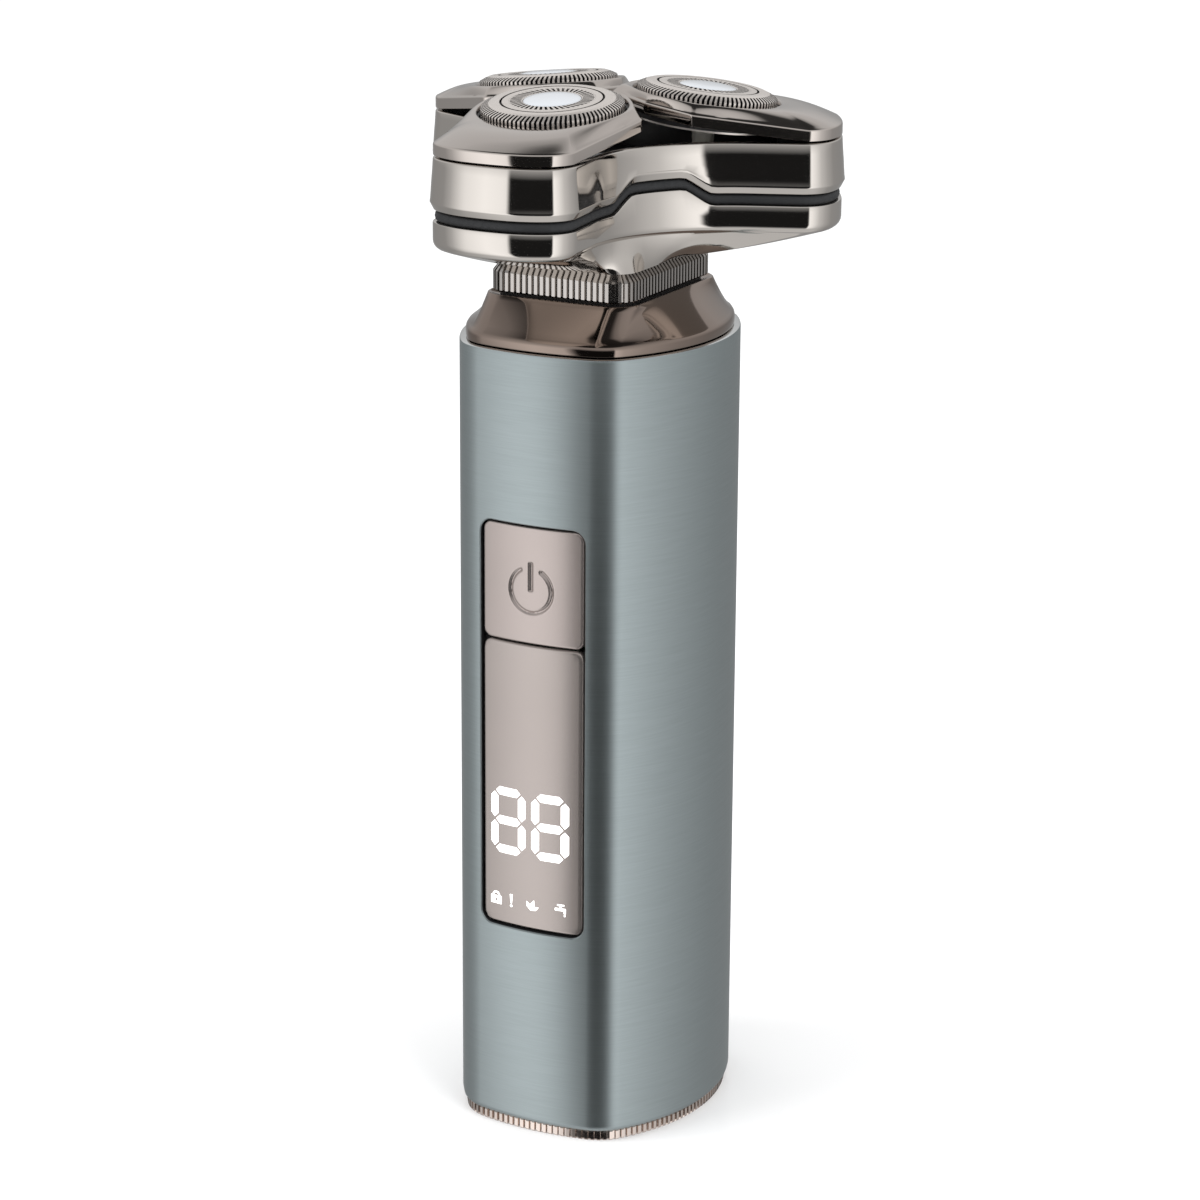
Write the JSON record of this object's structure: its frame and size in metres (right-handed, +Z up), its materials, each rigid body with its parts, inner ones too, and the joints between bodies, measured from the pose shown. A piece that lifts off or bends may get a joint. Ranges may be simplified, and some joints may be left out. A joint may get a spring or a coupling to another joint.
{
  "type": "rotary electric shaver",
  "caption": "Upright rotary electric shaver: bowed metal handle with button and display panel, ribbed neck, and a tri-lobed head of tilting cutter pods.",
  "frame": {"origin": "centre of the flat base that the shaver stands on", "axes": "+Z up the handle to the cutters, -Y is the front with button and display, +X to the right seen from the front"},
  "size_m": [0.0654, 0.0594, 0.1549],
  "materials": {
    "tube_metal": "fine horizontal brushing, satin",
    "shoulder_metal": "warm polished metal plating",
    "ring_metal": "polished, fine vertical ribs",
    "head_metal": "polished warm grey metal plating",
    "pod_metal": "polished warm grey metal plating",
    "cutter_steel": "ground steel with fine slots",
    "cap_white": "glossy",
    "button_satin": "satin metallic lacquer",
    "lens_satin": "smooth metallic tinted window",
    "black_plastic": "fine moulded texture",
    "black_rubber": "matt",
    "grey_plastic": "moulded",
    "gear_plastic": "natural acetal",
    "board_green": "solder resist",
    "chip_black": "moulded epoxy",
    "battery_wrap": "shrink sleeve",
    "plated_steel": "zinc plated",
    "brass_pins": "bare"
  },
  "bodies": {
    "handle": {"handle_tube": "tube_metal", "shoulder": "shoulder_metal", "neck_ring": "ring_metal", "neck_socket": "black_plastic", "latch_magnets": "plated_steel", "shaft_seal": "black_rubber", "base_ring": "ring_metal", "base_cap": "black_plastic", "base_gasket": "black_rubber", "charge_socket": "black_plastic", "charge_pins": "brass_pins", "chassis": "grey_plastic", "chassis_cover": "grey_plastic", "battery_cell": "battery_wrap", "battery_tabs": "plated_steel", "main_board": "board_green", "board_chips": "chip_black", "tact_switch": "chip_black", "display_module": "chip_black", "display_lens": "lens_satin", "panel_carrier": "black_plastic", "motor_can": "plated_steel", "motor_mount": "grey_plastic", "motor_screws": "plated_steel"},
    "button": {"power_button": "button_satin"},
    "rotor": {"motor_shaft": "plated_steel", "drive_dog": "gear_plastic"},
    "head_base": {"lower_shell": "head_metal", "seam_seal": "black_rubber", "latch_plate": "plated_steel", "gear_axles": "plated_steel", "gear_cover": "black_plastic", "cover_screws": "plated_steel"},
    "sun": {"sun_gear": "gear_plastic"},
    "head_top": {"upper_frame": "head_metal", "retainer_plate": "black_plastic"},
    "knob": {"retainer_knob": "grey_plastic"},
    "gear_1": {"drive_gear_1": "gear_plastic", "spindle_spring_1": "plated_steel"},
    "spindle_1": {"drive_spindle_1": "gear_plastic"},
    "pod_1": {"pod_shell_1": "pod_metal", "outer_cutter_1": "cutter_steel", "cutter_cap_1": "cap_white"},
    "cutter_1": {"inner_cutter_1": "cutter_steel"},
    "gear_2": {"drive_gear_2": "gear_plastic", "spindle_spring_2": "plated_steel"},
    "spindle_2": {"drive_spindle_2": "gear_plastic"},
    "pod_2": {"pod_shell_2": "pod_metal", "outer_cutter_2": "cutter_steel", "cutter_cap_2": "cap_white"},
    "cutter_2": {"inner_cutter_2": "cutter_steel"},
    "gear_3": {"drive_gear_3": "gear_plastic", "spindle_spring_3": "plated_steel"},
    "spindle_3": {"drive_spindle_3": "gear_plastic"},
    "pod_3": {"pod_shell_3": "pod_metal", "outer_cutter_3": "cutter_steel", "cutter_cap_3": "cap_white"},
    "cutter_3": {"inner_cutter_3": "cutter_steel"}
  },
  "joints": [
    {"name": "button_press", "type": "slide", "parent": "handle", "child": "button", "axis": [0, 1, 0], "range_m": [0, 0.0005], "stiffness_N_per_m": 800, "springref_m": -0.0006},
    {"name": "motor_spin", "type": "hinge", "parent": "handle", "child": "rotor", "pos_m": [0, 0, 0.12], "axis": [0, 0, 1], "continuous": true},
    {"name": "head_pull_off", "type": "slide", "parent": "handle", "child": "head_base", "axis": [0, 0, 1], "range_m": [0, 0.016]},
    {"name": "sun_spin", "type": "hinge", "parent": "head_base", "child": "sun", "pos_m": [0, 0, 0.137], "axis": [0, 0, 1], "continuous": true},
    {"name": "frame_pull_off", "type": "slide", "parent": "head_base", "child": "head_top", "axis": [0, 0, 1], "range_m": [0, 0.014]},
    {"name": "knob_turn", "type": "hinge", "parent": "head_top", "child": "knob", "pos_m": [0, 0, 0.1425], "axis": [0, 0, 1], "range_deg": [0, 90]},
    {"name": "gear_spin_1", "type": "hinge", "parent": "head_base", "child": "gear_1", "pos_m": [0, -0.0144, 0.137], "axis": [0, 0, 1], "continuous": true},
    {"name": "spindle_press_1", "type": "slide", "parent": "gear_1", "child": "spindle_1", "axis": [0, 0, 1], "range_m": [-0.0013, 0], "stiffness_N_per_m": 0.05, "springref_m": 0.0192, "deforming": ["spindle_spring_1"]},
    {"name": "pod_tilt_1", "type": "hinge", "parent": "head_top", "child": "pod_1", "pos_m": [0, -0.0262, 0.1456], "axis": [-1, 0, 0], "range_deg": [0, 5], "stiffness_Nm_per_rad": 0.08, "springref_deg": -2.86},
    {"name": "cutter_spin_1", "type": "hinge", "parent": "pod_1", "child": "cutter_1", "pos_m": [0, -0.01497, 0.1532], "axis": [0, -0.1132, 0.9936], "continuous": true},
    {"name": "gear_spin_2", "type": "hinge", "parent": "head_base", "child": "gear_2", "pos_m": [0.01247, 0.0072, 0.137], "axis": [0, 0, 1], "continuous": true},
    {"name": "spindle_press_2", "type": "slide", "parent": "gear_2", "child": "spindle_2", "axis": [0, 0, 1], "range_m": [-0.0013, 0], "stiffness_N_per_m": 0.05, "springref_m": 0.0192, "deforming": ["spindle_spring_2"]},
    {"name": "pod_tilt_2", "type": "hinge", "parent": "head_top", "child": "pod_2", "pos_m": [0.02269, 0.0131, 0.1456], "axis": [0.5, -0.866, 0], "range_deg": [0, 5], "stiffness_Nm_per_rad": 0.08, "springref_deg": -2.86},
    {"name": "cutter_spin_2", "type": "hinge", "parent": "pod_2", "child": "cutter_2", "pos_m": [0.01296, 0.00749, 0.1532], "axis": [0.098, 0.0566, 0.9936], "continuous": true},
    {"name": "gear_spin_3", "type": "hinge", "parent": "head_base", "child": "gear_3", "pos_m": [-0.01247, 0.0072, 0.137], "axis": [0, 0, 1], "continuous": true},
    {"name": "spindle_press_3", "type": "slide", "parent": "gear_3", "child": "spindle_3", "axis": [0, 0, 1], "range_m": [-0.0013, 0], "stiffness_N_per_m": 0.05, "springref_m": 0.0192, "deforming": ["spindle_spring_3"]},
    {"name": "pod_tilt_3", "type": "hinge", "parent": "head_top", "child": "pod_3", "pos_m": [-0.02269, 0.0131, 0.1456], "axis": [0.5, 0.866, 0], "range_deg": [0, 5], "stiffness_Nm_per_rad": 0.08, "springref_deg": -2.86},
    {"name": "cutter_spin_3", "type": "hinge", "parent": "pod_3", "child": "cutter_3", "pos_m": [-0.01296, 0.00749, 0.1532], "axis": [-0.098, 0.0566, 0.9936], "continuous": true}
  ],
  "couplings": [
    {"joint": "sun_spin", "follows": "motor_spin", "ratio": 1},
    {"joint": "gear_spin_1", "follows": "motor_spin", "ratio": -1.1818},
    {"joint": "cutter_spin_1", "follows": "motor_spin", "ratio": -1.1818},
    {"joint": "spindle_press_1", "follows": "pod_tilt_1", "m_per_rad": -0.01175},
    {"joint": "gear_spin_2", "follows": "motor_spin", "ratio": -1.1818},
    {"joint": "cutter_spin_2", "follows": "motor_spin", "ratio": -1.1818},
    {"joint": "spindle_press_2", "follows": "pod_tilt_2", "m_per_rad": -0.01175},
    {"joint": "gear_spin_3", "follows": "motor_spin", "ratio": -1.1818},
    {"joint": "cutter_spin_3", "follows": "motor_spin", "ratio": -1.1818},
    {"joint": "spindle_press_3", "follows": "pod_tilt_3", "m_per_rad": -0.01175}
  ]
}
